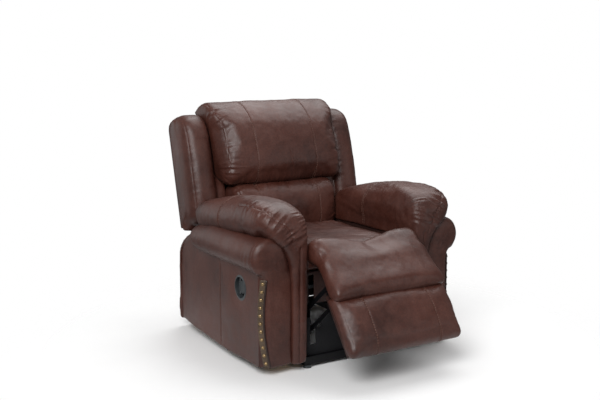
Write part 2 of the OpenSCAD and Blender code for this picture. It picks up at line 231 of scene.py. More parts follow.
def cloth_material():
    n = Nodes("black_cloth")
    weave = n.add("ShaderNodeTexWave", wave_type="BANDS", bands_direction="X")
    weave.inputs["Scale"].default_value = 260
    across = n.add("ShaderNodeTexWave", wave_type="BANDS", bands_direction="Z")
    across.inputs["Scale"].default_value = 260
    for wave in (weave, across):
        n.link(n.coords, wave.inputs["Vector"])
    threads = n.mix(0.5, weave.outputs["Color"], across.outputs["Color"])
    n.put(Sheen_Weight=0.05, Sheen_Roughness=0.5, Specular_IOR_Level=0.3)
    return n.finish(n.ramp(threads, (0.2, (0.002, 0.002, 0.003)), (0.8, (0.007, 0.007, 0.009))),
                    n.span(threads, 0.7, 0.9, 0, 1), n.bump(threads, 0.4, 0.0005))


LEATHER = leather_material("leather", (0.036, 0.0092, 0.0055), (0.070, 0.0192, 0.0118),
                           (0.104, 0.036, 0.025))
# A darker copy of the leather, with painted shade, for the arm linings, the valance under the seat and the
# CAD leather left in view, which all sit in shade.
LEATHER_PAINTED_SHADE = leather_material("leather_dark", (0.018, 0.007, 0.006), (0.034, 0.013, 0.010),
                                (0.055, 0.024, 0.019), 1.3)
PIPING = leather_material("leather_piping", (0.014, 0.005, 0.004), (0.024, 0.009, 0.007),
                          (0.040, 0.018, 0.014), 2.1)
TRIM = leather_material("leather_trim", (0.045, 0.028, 0.016), (0.075, 0.048, 0.028),
                        (0.12, 0.08, 0.05), 0.7)
THREAD = plain_material("thread", ((0.10, 0.045, 0.032), (0.16, 0.08, 0.06)), (0.55, 0.7), 300)
BRASS = plain_material("antique_brass", ((0.22, 0.14, 0.065), (0.46, 0.33, 0.18)), (0.30, 0.44),
                       240, 0.15, Metallic=1.0)
BLACK_STEEL = plain_material("black_steel", ((0.002, 0.002, 0.0025), (0.005, 0.005, 0.006)), (0.40, 0.54),
                             180, 0.15, Specular_IOR_Level=0.22)
# Zinc-plated steel, its grey darkened with painted shade for the mechanism that sits in the shade under the
# seat.
ZINC_PAINTED_SHADE = plain_material("zinc", ((0.13, 0.135, 0.14), (0.22, 0.225, 0.235)), (0.42, 0.58),
                      120, 0.15, Metallic=1.0)
PLASTIC = plain_material("black_plastic", ((0.020, 0.024, 0.026), (0.034, 0.040, 0.043)), (0.30, 0.40),
                         500, 0.12)
NYLON = plain_material("white_nylon", ((0.70, 0.69, 0.65), (0.80, 0.79, 0.75)), (0.4, 0.5),
                       200, 0.05)
WOOD = wood_material()
CLOTH = cloth_material()

# ---- Shape tools ---------------------------------------------------------


def spline(points, step, closed=True):
    """Points spaced evenly, about step apart, on the smooth curve through the given ones."""
    pts = [np.array(p, float) for p in points]
    n = len(pts)
    curve = []
    for i in range(n if closed else n - 1):
        if closed:
            a, b, c, d = (pts[(i + k) % n] for k in (-1, 0, 1, 2))
        else:
            b, c = pts[i], pts[i + 1]
            a = pts[i - 1] if i else 2 * b - c
            d = pts[i + 2] if i + 2 < n else 2 * c - b
        for t in np.arange(16) / 16:
            curve.append(0.5 * (2 * b + (c - a) * t + (2 * a - 5 * b + 4 * c - d) * t * t
                                + (3 * b - a - 3 * c + d) * t ** 3))
    curve.append(pts[0] if closed else pts[-1])
    return even(np.array(curve), step, closed)


def even(curve, step, closed=False):
    """The same line with its points spaced evenly, about step apart."""
    length = np.concatenate([[0], np.cumsum(np.linalg.norm(np.diff(curve, axis=0), axis=1))])
    count = max(8, round(length[-1] / step))
    at = np.linspace(0, length[-1], count + 1)
    out = np.stack([np.interp(at, length, curve[:, k]) for k in range(curve.shape[1])], 1)
    return out[:-1] if closed else out


def closed_outline(points, step):
    """A closed outline with straight edges, its points spaced evenly."""
    return even(np.array(points + points[:1]), step)[:-1]


def both_sides(half):
    """An outline given for the +X side only, with its mirror image."""
    return half + [(-x, z) for x, z in reversed(half)]


def loop_normals(loop):
    """Outward normals of a closed loop in the plane."""
    tangent = np.roll(loop, -1, 0) - np.roll(loop, 1, 0)
    normal = np.stack([tangent[:, 1], -tangent[:, 0]], 1)
    normal /= np.linalg.norm(normal, axis=1)[:, None]
    x, y = loop[:, 0], loop[:, 1]
    area = np.sum(x * np.roll(y, -1) - np.roll(x, -1) * y)
    return normal if area > 0 else -normal


def spine(loop):
    """For each point of a loop, where it goes when the loop shrinks to its middle line."""
    centre = loop.mean(0)
    _, _, axes = np.linalg.svd(loop - centre, full_matrices=False)
    along = (loop - centre) @ axes[0]
    across = (loop - centre) @ axes[1]
    half = (np.abs(along).max() - 0.5 * (across.max() - across.min())).clip(0)
    return centre + np.clip(along * half / np.abs(along).max(), -half, half)[:, None] * axes[0]


def grid_faces(rows, columns):
    """Quads of a grid of rows x columns points, where each row closes on itself."""
    faces = []
    for r in range(rows - 1):
        for c in range(columns):
            d = (c + 1) % columns
            faces.append((r * columns + c, r * columns + d, (r + 1) * columns + d, (r + 1) * columns + c))
    return faces


def add_mesh(name, points, faces, space=None, material=LEATHER, smooth=True):
    """Makes an object from points in a space."""
    mesh = bpy.data.meshes.new(name)
    mesh.from_pydata([tuple(p) for p in points], [], [tuple(f) for f in faces])
    if space is not None:
        mesh.transform(space)
    work = bmesh.new()
    work.from_mesh(mesh)
    bmesh.ops.remove_doubles(work, verts=work.verts, dist=1e-6)
    bmesh.ops.recalc_face_normals(work, faces=work.faces)
    work.to_mesh(mesh)
    work.free()
    for face in mesh.polygons:
        face.use_smooth = smooth
    mesh.materials.append(material)
    obj = bpy.data.objects.new(name, mesh)
    bpy.context.scene.collection.objects.link(obj)
    return obj


def join_forms(forms):
    """Several (points, faces) as one."""
    points, faces, n = [], [], 0
    for p, f in forms:
        points.append(np.array(p))
        faces += [tuple(i + n for i in face) for face in f]
        n += len(p)
    return np.vstack(points), faces


def mirror(obj, side):
    """Takes a piece made on the +X side over to the other one, if side is -1."""
    if side < 0:
        obj.data.transform(MIRROR)
        obj.data.flip_normals()


def get_points(obj):
    flat = np.empty(len(obj.data.vertices) * 3, np.float32)
    obj.data.vertices.foreach_get("co", flat)
    return flat.reshape(-1, 3).astype(float)


def get_normals(obj):
    flat = np.empty(len(obj.data.vertices) * 3, np.float32)
    obj.data.vertices.foreach_get("normal", flat)
    return flat.reshape(-1, 3).astype(float)


def set_points(obj, points):
    obj.data.vertices.foreach_set("co", points.astype(np.float32).ravel())
    obj.data.update()


def apply_modifiers(obj):
    graph = bpy.context.evaluated_depsgraph_get()
    mesh = bpy.data.meshes.new_from_object(obj.evaluated_get(graph))
    obj.modifiers.clear()
    old = obj.data
    obj.data = mesh
    bpy.data.meshes.remove(old)
    for face in mesh.polygons:
        face.use_smooth = True


def pillow(outline, x0, x1, edge, step=0.007, bulge=0.0, crown=None, keep=None):
    """A closed form with a loop for its outline, seen along X, and rounded ends at x0 and x1. crown(x, y, z)
    says how far each point of the outline moves outwards, and keep(y, z) is 0 where the ends stay square."""
    loop = spline(outline, step)
    normal = loop_normals(loop)
    middle = spine(loop)
    rounding = (np.ones(len(loop)) if keep is None else keep(loop[:, 0], loop[:, 1]))[:, None]
    edges = edge if isinstance(edge, tuple) else (edge, edge)
    rows, caps = [], 7
    turns = [max(3, round(e * 1.57 / step)) for e in edges]
    rows += [(k / caps, x0, edges[0], 0.0, -1) for k in range(caps)]
    rows += [(1, x0, edges[0], math.pi / 2 * k / turns[0], -1) for k in range(turns[0])]
    length = x1 - x0 - sum(edges)
    flat = max(4, round(length / step))
    rows += [(1, x0 + edges[0] + length * k / flat, 0, math.pi / 2, 0) for k in range(flat + 1)]
    rows += [(1, x1, edges[1], math.pi / 2 * k / turns[1], 1) for k in range(turns[1] - 1, -1, -1)]
    rows += [(k / caps, x1, edges[1], 0.0, 1) for k in range(caps - 1, -1, -1)]
    points = []
    for open_, x, radius, angle, end in rows:
        ring = loop - normal * rounding * radius * (1 - math.sin(angle))
        at = x if end == 0 else x - end * radius * (1 - math.cos(angle))
        if crown is not None:
            ring = ring + normal * crown(np.full(len(ring), at), loop[:, 0], loop[:, 1])[:, None]
        ring = middle + (ring - middle) * open_
        at += end * bulge * (1 - open_ ** 2) if open_ < 1 else 0
        points.append(np.column_stack([np.full(len(ring), at), ring]))
    points = np.array(points)
    return points.reshape(-1, 3), grid_faces(points.shape[0], points.shape[1])


def swept(rows, around, power, reach=0.5):
    """A rounded-box section along rows of (y, z, half thickness, x0, x1), with rounded ends."""
    rows = spline(rows, 0.008, closed=False)
    tangent = np.gradient(rows[:, :2], axis=0)
    tangent /= np.linalg.norm(tangent, axis=1)[:, None]
    normal = np.stack([tangent[:, 1], -tangent[:, 0]], 1)
    angle = np.linspace(0, 2 * math.pi, around, endpoint=False)
    c = np.sign(np.cos(angle)) * np.abs(np.cos(angle)) ** (2 / power)
    s = np.sign(np.sin(angle)) * np.abs(np.sin(angle)) ** (2 / power)
    rings = [np.column_stack([(x0 + x1) / 2 + (x1 - x0) / 2 * c, y + n[0] * t * s, z + n[1] * t * s])
             for (y, z, t, x0, x1), n in zip(rows, normal)]

    def cap(first, second):
        centre = first.mean(0)
        way = (first - second).mean(0)
        way /= np.linalg.norm(way)
        size = np.linalg.norm(first - centre, axis=1).min()
        return [centre + (first - centre) * max(math.cos(a), 0.02) + way * size * reach * math.sin(a)
                for a in math.pi / 2 * np.arange(1, 7) / 6]

    rings = np.array(cap(rings[0], rings[1])[::-1] + rings + cap(rings[-1], rings[-2]))
    return rings.reshape(-1, 3), grid_faces(rings.shape[0], rings.shape[1])


def far_from(points, line, closed=False):
    """Distance from each point to a line of points, and how far along the line the nearest point lies."""
    a = line if not closed else np.vstack([line, line[:1]])
    seg = a[1:] - a[:-1]
    length = np.linalg.norm(seg, axis=1)
    start = np.concatenate([[0], np.cumsum(length)])[:-1]
    best = np.full(len(points), 1e9)
    along = np.zeros(len(points))
    for p, d, n, s in zip(a[:-1], seg, length, start):
        t = np.clip(((points - p) @ d) / (n * n + 1e-12), 0, 1)
        r = np.linalg.norm(points - p - t[:, None] * d, axis=1)
        near = r < best
        best[near] = r[near]
        along[near] = s + t[near] * n
    return best, along


def board(outline, thick, radius, crown=0.0, step=0.007, holes=(), reach=0.05):
    """A padded board in the plane: (points, faces) with u, v in the plane and w its height, from -thick up to
    the padded face. radius(u, v), or a number, rounds its edge."""
    loops = [np.array(outline, float)] + [np.array(h, float) for h in holes]
    rings, edges, n = [], [], 0
    for loop in loops:
        rings.append(loop)
        edges += [(n + i, n + (i + 1) % len(loop)) for i in range(len(loop))]
        n += len(loop)
    low, high = loops[0].min(0), loops[0].max(0)
    u, v = np.meshgrid(np.arange(low[0], high[0], step), np.arange(low[1], high[1], step))
    u = u + (np.arange(u.shape[0]) % 2)[:, None] * step / 2
    inside = np.column_stack([u.ravel(), v.ravel()])
    extra = []
    for loop in loops:
        for depth in (0.0008, 0.0025, 0.005):
            extra.append(loop - loop_normals(loop) * depth * (1 if loop is loops[0] else -1))
    ring_points = np.vstack(extra)

    def edge_gap(points):
        gaps = [far_from(points, loop, True)[0] for loop in loops]
        return np.min(gaps, axis=0)

    grid_ok = edge_gap(inside) > 0.0085
    ring_ok = edge_gap(ring_points) > 0.0006
    points = np.vstack(rings + [ring_points[ring_ok], inside[grid_ok]])
    verts, _, faces, _, _, _ = geometry.delaunay_2d_cdt([Vector(p) for p in points], edges, [], 1, 1e-7)
    verts = np.array([tuple(p) for p in verts])
    faces = [f for f in faces if in_loops(verts[list(f)].mean(0), loops)]
    gap = edge_gap(verts)
    r = radius(verts[:, 0], verts[:, 1]) if callable(radius) else np.full(len(verts), float(radius))
    rise = r * np.sqrt(np.clip(1 - (1 - np.clip(gap / r, 0, 1)) ** 2, 0, 1)) - r
    rise = rise + crown * (1 - np.exp(-gap / reach))
    count = len(verts)
    top = np.column_stack([verts, rise])
    bottom = np.column_stack([verts, np.full(count, -float(thick))])
    out = [tuple(f) for f in faces] + [tuple(count + i for i in reversed(f)) for f in faces]
    uses = {}
    for f in faces:
        for a, b in zip(f, f[1:] + f[:1]):
            uses[(a, b)] = uses.get((a, b), 0) + 1
    out += [(b, a, a + count, b + count) for a, b in uses if (b, a) not in uses]
    return np.vstack([top, bottom]), out


def in_loops(point, loops):
    """Whether a point is inside the first loop and outside the others."""
    def crossed(loop):
        a, b = loop, np.roll(loop, -1, 0)
        over = (a[:, 1] > point[1]) != (b[:, 1] > point[1])
        at = (b[:, 0] - a[:, 0]) * (point[1] - a[:, 1]) / np.where(over, b[:, 1] - a[:, 1], 1) + a[:, 0]
        return np.count_nonzero(over & (point[0] < at)) % 2 == 1
    return crossed(loops[0]) and not any(crossed(loop) for loop in loops[1:])


def placed(form, order, w_sign=1, at=(0, 0, 0)):
    """Turns a board's (u, v, w) into x, y, z; order names which of them goes where."""
    points, faces = form
    points = points * np.array([1, 1, w_sign])
    return points[:, ["uvw".index(c) for c in order]] + np.array(at), faces


# ---- Noise and folds -----------------------------------------------------


def hash_at(cells, seed):
    """A fixed number from -1 to 1 for each whole-numbered cell."""
    n = cells[..., 0] * 374761393 + cells[..., 1] * 668265263 + cells[..., 2] * 2147483647 + seed * 144665
    n = n & 0xFFFFFFFF
    n = ((n ^ (n >> 13)) * 1274126177) & 0xFFFFFFFF
    return ((n ^ (n >> 16)) & 0xFFFF) / 32767.5 - 1


def value_noise(points, seed):
    """Smooth noise from -1 to 1, with cells of size 1."""
    base = np.floor(points).astype(np.int64)
    f = points - base
    f = f * f * (3 - 2 * f)
    out = 0
    for corner in np.ndindex(2, 2, 2):
        wx, wy, wz = (f[:, axis] if far else 1 - f[:, axis] for axis, far in enumerate(corner))
        out = out + wx * wy * wz * hash_at(base + np.array(corner), seed)
    return out


def fade(value, low, high):
    t = np.clip((value - low) / (high - low), 0, 1)
    return t * t * (3 - 2 * t)


def flat_noise(u, v, size, seed):
    """Smooth noise over a flat piece, with cells of the given size."""
    return value_noise(np.column_stack([u, v, np.zeros(len(u))]) / size, seed)


def groove(points, line, depth, width):
    """A sewn line: how far the surface sinks along it."""
    gap, _ = far_from(points, line)
    return -depth * np.exp(-(gap / width) ** 2)


def gathers(points, line, height, pitch, reach, seed):
    """Short folds across a sewn line, strongest beside it. They fade out towards the ends of the line."""
    gap, along = far_from(points, line)
    wobble = 0.35 * value_noise(points / 0.05, seed + 5)
    coarse = np.column_stack([along / pitch + wobble, gap / (4 * reach), np.zeros(len(gap))])
    fine = np.column_stack([along / pitch * 2.1, gap / (3 * reach), np.ones(len(gap))])
    wave = value_noise(coarse, seed)
    wave = wave + 0.5 * value_noise(fine, seed + 1)
    local = reach * (1 + 0.6 * value_noise(np.column_stack([along / (pitch * 1.5)] * 3), seed + 9))
    fall = np.exp(-(gap / local) ** 1.6) * (1 - 0.75 * np.exp(-(gap / 0.003) ** 2))
    length = np.linalg.norm(np.diff(np.array(line, float), axis=0), axis=1).sum()
    fall = fall * fade(along, 0, 1.6 * pitch) * fade(length - along, 0, 1.6 * pitch)
    return height * (1 - 2 * np.abs(wave)) * fall - 0.4 * height * fall


def ripples(points, centre, along, across, height, pitch, seed):
    """Loose creases round a place: long on the along direction, pitch apart on the other."""
    rel = points - np.array(centre)
    along_way = np.array(along, float) / np.linalg.norm(along)
    across_way = np.array(across, float) / np.linalg.norm(across)
    size = np.linalg.norm(along), np.linalg.norm(across)
    a, c = rel @ along_way, rel @ across_way
    off = (rel ** 2).sum(1) - a ** 2 - c ** 2
    fall = np.exp(-((a / size[0]) ** 2 + (c / size[1]) ** 2 + off / max(size) ** 2))
    spots = np.column_stack([c / pitch + 0.3 * a / pitch, a / (size[0] * 1.2), np.zeros(len(a))])
    wave = value_noise(spots, seed)
    return height * (1 - 2.2 * np.abs(wave)) * fall


# ---- Soft pieces ---------------------------------------------------------

CLOTH_PRESSURE = 4.0
CLOTH_FRAMES = 20


def calmed(obj, move, rounds, crumple):
    """A field of moves evened out over the mesh, with a share of its own small folds left in."""
    ends = np.empty(len(obj.data.edges) * 2, np.int32)
    obj.data.edges.foreach_get("vertices", ends)
    a, b = ends[::2], ends[1::2]
    count = len(move)
    degree = np.bincount(ends, minlength=count)
    smooth = move.copy()
    for _ in range(rounds):
        for k in range(3):
            column = smooth[:, k]
            total = np.bincount(a, column[b], count) + np.bincount(b, column[a], count)
            smooth[:, k] = 0.5 * column + 0.5 * total / degree
    return smooth + crumple * (move - smooth)


def inflate(obj, cap, hold, crumple):
    """Blows a closed form up as cloth for a moment, by cap at most. hold(points) is 1 where it stays put."""
    before = get_points(obj)
    cloth = obj.modifiers.new("cloth", "CLOTH")
    s = cloth.settings
    s.quality = 5
    s.mass = 0.3
    s.tension_stiffness = s.compression_stiffness = s.shear_stiffness = 15
    s.bending_stiffness = 0.6
    s.use_pressure = True
    s.uniform_pressure_force = CLOTH_PRESSURE
    s.effector_weights.gravity = 0
    if hold is not None:
        group = obj.vertex_groups.new(name="hold")
        weights = hold(before)
        for level in (0.25, 0.5, 0.75, 1.0):
            chosen = np.nonzero((weights > level - 0.25 + 1e-3) & (weights <= level + 1e-3))[0]
            if len(chosen):
                group.add([int(i) for i in chosen], level, "REPLACE")
        s.vertex_group_mass = "hold"
    cloth.point_cache.frame_start = 1
    cloth.point_cache.frame_end = CLOTH_FRAMES
    scene = bpy.context.scene
    for frame_number in range(1, CLOTH_FRAMES + 1):
        scene.frame_set(frame_number)
    apply_modifiers(obj)
    obj.vertex_groups.clear()
    after = get_points(obj)
    move = after - before
    length = np.linalg.norm(move, axis=1)
    move *= (np.minimum(length, cap) / np.maximum(length, 1e-9))[:, None]
    set_points(obj, before + calmed(obj, move, 24, crumple))
    scene.frame_set(1)


def soft(name, forms, space, fold, voxel=0.006, relax=6, cap=None, hold=None, side=1, crumple=0.3):
    """Joins forms into one skin, evens it out, blows it up if it has a cap, and folds it. Everything up to
    the folds is in the piece's own space, on the +X side; side=-1 mirrors the result."""
    obj = add_mesh(name, *join_forms(forms))
    remesh = obj.modifiers.new("remesh", "REMESH")
    remesh.mode = "VOXEL"
    remesh.voxel_size = voxel
    relaxer = obj.modifiers.new("relax", "SMOOTH")
    relaxer.factor = 0.5
    relaxer.iterations = relax
    apply_modifiers(obj)
    if cap:
        inflate(obj, cap, hold, crumple)
        smooth = obj.modifiers.new("relax", "SMOOTH")
        smooth.factor = 0.5
        smooth.iterations = 2
        apply_modifiers(obj)
    detail = obj.modifiers.new("detail", "SUBSURF")
    detail.levels = detail.render_levels = 1
    apply_modifiers(obj)
    spots = get_points(obj)
    set_points(obj, spots + get_normals(obj) * fold(obj, spots)[:, None])
    obj.data.materials.clear()
    obj.data.materials.append(LEATHER)
    obj.data.transform(space)
    mirror(obj, side)
    return obj


def settle(obj, body, *nodes, slot="brown_leather", fill=None):
    """Rides a piece on its body and hides the CAD nodes it stands in for."""
    if body:
        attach(obj, body)
    if nodes:
        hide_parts(*nodes)
    return obj


def surface_line(obj, line, lift=0.0):
    """The line moved on to the surface of a piece, in the piece's own coordinates."""
    out = []
    for p in line:
        _, spot, normal, _ = obj.closest_point_on_mesh(Vector(p))
        out.append(np.array(spot + normal * lift))
    return np.array(out)


def tube(line, radius, sides=6, closed=False):
    """A thin round cord along a line of points."""
    line = np.array(line)
    tangent = (np.roll(line, -1, 0) - np.roll(line, 1, 0)) if closed else np.gradient(line, axis=0)
    tangent /= np.linalg.norm(tangent, axis=1)[:, None]
    up = np.array([1.0, 0, 0]) if abs(tangent[0][0]) < 0.7 else np.array([0, 0, 1.0])
    rings = []
    for p, t in zip(line, tangent):
        a = np.cross(t, up)
        a /= np.linalg.norm(a)
        b = np.cross(t, a)
        up = -np.cross(t, a) if np.dot(np.cross(a, t), up) > 0 else np.cross(a, t)
        angle = np.linspace(0, 2 * math.pi, sides, endpoint=False)
        rings.append(p + radius * (np.outer(np.cos(angle), a) + np.outer(np.sin(angle), b)))
    points = np.array(rings).reshape(-1, 3)
    faces = grid_faces(len(line), sides)
    if closed:
        last = (len(line) - 1) * sides
        faces += [(last + i, last + (i + 1) % sides, (i + 1) % sides, i) for i in range(sides)]
    else:
        faces += [tuple(range(sides))[::-1], tuple((len(line) - 1) * sides + i for i in range(sides))]
    return points, faces


STITCH = 0.0065
STITCH_GAP = 0.0035
THREAD_RADIUS = 0.0009
THREAD_LIFT = 0.0006


def sew(name, obj, lines, space, body, side=1):
    """Thread stitches along lines given in a space, laid on a finished piece."""
    turn = (MIRROR if side < 0 else Matrix()) @ space
    forms = []
    for line in lines:
        fine = even(np.array([tuple(turn @ Vector(p)) for p in line]), 0.002)
        fine = surface_line(obj, fine, THREAD_LIFT)
        travel = np.concatenate([[0], np.cumsum(np.linalg.norm(np.diff(fine, axis=0), axis=1))])
        for start in np.arange(0, travel[-1] - STITCH, STITCH + STITCH_GAP):
            at = np.linspace(start, start + STITCH, 4)
            bead = np.stack([np.interp(at, travel, fine[:, k]) for k in range(3)], 1)
            forms.append(tube(bead, THREAD_RADIUS, 4))
    settle(add_mesh(name, *join_forms(forms), material=THREAD), body)


# ---- Back ----------------------------------------------------------------

SEAM_X = 0.152                                   # the two seams down the front of the cushions
SEAM_DEPTH = 0.0022
SEAM_WIDTH = 0.0032
ROWS_BESIDE = (-0.005, 0.005)                    # where the two rows of stitches lie beside a seam
HEAD_OUTLINE = [(-0.066, 0.235), (-0.120, 0.205), (-0.170, 0.182), (-0.206, 0.184), (-0.229, 0.218),
    (-0.237, 0.290), (-0.231, 0.380), (-0.212, 0.460), (-0.180, 0.520), (-0.135, 0.557), (-0.085, 0.570),
    (-0.040, 0.562), (-0.014, 0.540), (-0.012, 0.512), (-0.055, 0.498), (-0.066, 0.380)]
LUMBAR_OUTLINE = [(-0.150, -0.105), (-0.176, -0.060), (-0.204, 0.000), (-0.220, 0.055), (-0.224, 0.110),
    (-0.212, 0.155), (-0.178, 0.182), (-0.120, 0.192), (-0.075, 0.180), (-0.066, 0.100), (-0.085, 0.020),
    (-0.112, -0.070)]
WING_OUTLINE = [(-0.004, 0.025), (-0.060, 0.026), (-0.112, 0.035), (-0.141, 0.080), (-0.152, 0.200),
    (-0.152, 0.350), (-0.144, 0.438), (-0.116, 0.497), (-0.070, 0.521), (-0.030, 0.521), (-0.004, 0.508),
    (0.000, 0.300)]
WING_FOOT_OUTLINE = [(-0.008, 0.030), (-0.060, 0.022), (-0.098, 0.036), (-0.112, 0.090), (-0.114, 0.180),
    (-0.100, 0.245), (-0.050, 0.260), (-0.008, 0.250)]


def at_x(x, points):
    return np.array([(x, y, z) for y, z in points])


def part_of(outline, keep):
    """The stretch of an outline's curve where keep holds, in order."""
    curve = spline(outline, 0.01)
    kept = keep(curve[:, 0], curve[:, 1])
    first = next(i for i in range(len(curve)) if kept[i] and not kept[i - 1])
    turned = np.roll(curve, -first, 0)
    return turned[:np.count_nonzero(kept)]


def dome(x, half, height):
    return height * np.clip(1 - (np.abs(x) / half) ** 2, 0, 1)


def front_seam(points, x, front=-0.10):
    return -SEAM_DEPTH * np.exp(-((points[:, 0] - x) / SEAM_WIDTH) ** 2) * (points[:, 1] < front)


def seam_rows(front):
    """The rows of stitches beside both seams of a cushion with this front line."""
    return [at_x(s * SEAM_X + o, front) for s in (-1, 1) for o in ROWS_BESIDE]


HEAD_FRONT = part_of(HEAD_OUTLINE, keep=lambda y, z: (y < -0.10) | (z > 0.53))
LUMBAR_FRONT = part_of(LUMBAR_OUTLINE, keep=lambda y, z: y < -0.13)


def head_fold(obj, p):
    d = np.zeros(len(p))
    for s in (-1, 1):
        flare = 1 + HEAD_FLARE * fade(HEAD_FRONT[:, 1], 0.42, 0.53)
        edge = surface_line(obj, np.column_stack([s * (HEAD_SIDE_X - 0.010) * flare, HEAD_FRONT]))
        d += groove(p, edge, 0.0016, 0.0040) + gathers(p, edge, 0.0024, 0.027, 0.040, 11 + s)
        d += front_seam(p, s * SEAM_X)
    low = surface_line(obj, [(x, -0.20, 0.186) for x in np.linspace(-0.27, 0.27, 40)])
    d += gathers(p, low, 0.0022, 0.035, 0.040, 21)
    d += ripples(p, (0.02, -0.235, 0.235), (0, 0, 0.06), (0.03, 0, 0), 0.003, 0.018, 3)
    d += 0.0022 * value_noise(p / 0.085, 5) * (p[:, 1] < -0.1) + 0.0007 * value_noise(p / 0.02, 6)
    return d


def head_pillow():
    form = pillow(HEAD_OUTLINE, -HEAD_SIDE_X, HEAD_SIDE_X, 0.034, bulge=0.006,
                  crown=lambda x, y, z: dome(x, HEAD_X, 0.012) * fade(-y, 0.08, 0.2))
    form[0][:, 0] *= 1 + HEAD_FLARE * fade(form[0][:, 2], 0.42, 0.53)
    obj = soft("head_cushion", [form], BACK_SPACE, head_fold, cap=0.012,
               hold=lambda p: fade(p[:, 1], -0.12, -0.07))
    settle(obj, "back", "head_pillow", fill=0.75)
    sew("head_stitching", obj, seam_rows(HEAD_FRONT), BACK_SPACE, "back")


def lumbar_fold(obj, p):
    d = np.zeros(len(p))
    for s in (-1, 1):
        edge = surface_line(obj, at_x(s * (SEAT_X - 0.006), LUMBAR_FRONT))
        d += groove(p, edge, 0.003, 0.004) + gathers(p, edge, 0.0020, 0.026, 0.03, 31 + s)
        d += front_seam(p, s * SEAM_X)
    top = surface_line(obj, np.array([(x, -0.19, 0.172) for x in np.linspace(-0.25, 0.25, 40)]))
    d += gathers(p, top, 0.0022, 0.03, 0.035, 41)
    return d + 0.003 * value_noise(p / 0.09, 7) + 0.0007 * value_noise(p / 0.02, 8)


def lumbar_pillow():
    form = pillow(LUMBAR_OUTLINE, -SEAT_X - 0.002, SEAT_X + 0.002, 0.035,
                  crown=lambda x, y, z: dome(x, SEAT_X, 0.010) * fade(-y, 0.10, 0.2))
    obj = soft("lumbar_cushion", [form], BACK_SPACE, lumbar_fold, cap=0.010,
               hold=lambda p: fade(p[:, 1], -0.14, -0.09))
    settle(obj, "back", "lumbar_pillow", fill=0.7)
    sew("lumbar_stitching", obj, seam_rows(LUMBAR_FRONT), BACK_SPACE, "back")


WING_SEAM = [(-0.138, 0.05), (-0.148, 0.10), (-0.150, 0.20), (-0.150, 0.35), (-0.141, 0.44),
    (-0.114, 0.495), (-0.070, 0.519), (-0.035, 0.519)]


def wing(side, name):
    def fold(obj, p):
        edge = surface_line(obj, at_x(WING_X - 0.014, spline(WING_SEAM, 0.01, False)))
        d = groove(p, edge, 0.0012, 0.0035) + gathers(p, edge, 0.0008, 0.03, 0.02, 51)
        inner = surface_line(obj, at_x(HEAD_X + 0.012, spline(WING_SEAM, 0.01, False)))
        d += gathers(p, inner, 0.0012, 0.028, 0.024, 55)
        return d + 0.0016 * value_noise(p / 0.08, 9) * fade(-p[:, 1], 0.01, 0.04)

    foot = pillow(WING_FOOT_OUTLINE, 0.256, HEAD_X + 0.03, 0.012)
    middle, half = (HEAD_X - 0.008 + WING_X) / 2, (WING_X - HEAD_X + 0.008) / 2
    form = pillow(WING_OUTLINE, HEAD_X - 0.008, WING_X, (0.026, 0.056), bulge=0.004,
                  crown=lambda x, y, z: dome(x - middle, half, 0.008) * fade(-y, 0.10, 0.14),
                  keep=lambda y, z: np.maximum(fade(-y, 0.0, 0.06), fade(z, 0.455, 0.50)))
    obj = soft(f"{name}_cover", [form, foot], BACK_SPACE, fold, cap=0.006,
               hold=lambda p: fade(p[:, 1], -0.07, -0.03), side=side)
    settle(obj, "back", name, fill=0.85)


def back_cover():
    w, r, top, low = WING_X + 0.001, 0.052, 0.520, 0.024
    corner = [(w - r + r * math.cos(a), top - r + r * math.sin(a)) for a in np.radians([0, 22, 45, 68, 90])]
    half = [(0.262, -0.078), (0.262, low), (w, low)] + corner
    outline = closed_outline(both_sides(half), 0.009)
    form = placed(board(outline, 0.012, 0.008, 0.006, 0.012, reach=0.09), "uwv")
    obj = add_mesh("back_cover", *form, BACK_SPACE)
    settle(obj, "back", "back_panel", fill=0.95)
    edge = [(x, 0.001, z) for x, z in outline - loop_normals(outline) * 0.004]
    welt = add_mesh("back_welt", *tube(edge, 0.0035, 6, closed=True), BACK_SPACE, PIPING)
    settle(welt, "back")


# ---- Arms ----------------------------------------------------------------

# Middle line of an arm's pillow and of the strip that falls from it: y, z, half thickness, inner x, outer x
ARM_PATH = [(0.205, 0.526, 0.034, 0.285, 0.430), (0.190, 0.541, 0.056, 0.270, 0.452),
    (0.100, 0.557, 0.069, 0.262, 0.462), (-0.050, 0.578, 0.073, 0.260, 0.466),
    (-0.190, 0.593, 0.076, 0.259, 0.468), (-0.300, 0.599, 0.075, 0.259, 0.468),
    (-0.366, 0.586, 0.063, 0.259, 0.462), (-0.392, 0.545, 0.045, 0.260, 0.430),
    (-0.397, 0.500, 0.034, 0.261, 0.374), (-0.400, 0.450, 0.028, 0.262, 0.346),
    (-0.401, 0.380, 0.025, 0.263, 0.336), (-0.402, 0.250, 0.023, 0.263, 0.334),
    (-0.401, 0.120, 0.022, 0.264, 0.334), (-0.400, 0.040, 0.021, 0.265, 0.334)]
# Sewn line where the pillow's top is gathered on to its front and side, as x, y, z
ARM_GATHER = [(0.322, -0.422, 0.50), (0.350, -0.440, 0.560), (0.385, -0.438, 0.612), (0.420, -0.405, 0.645),
    (0.440, -0.350, 0.655), (0.446, -0.280, 0.652), (0.446, -0.200, 0.645)]
ARM_SEAM_Y = -0.05                               # the seam across an arm's pillow
STRIP_SEAM = [(0.303, -0.44, z) for z in np.linspace(0.50, 0.04, 60)]


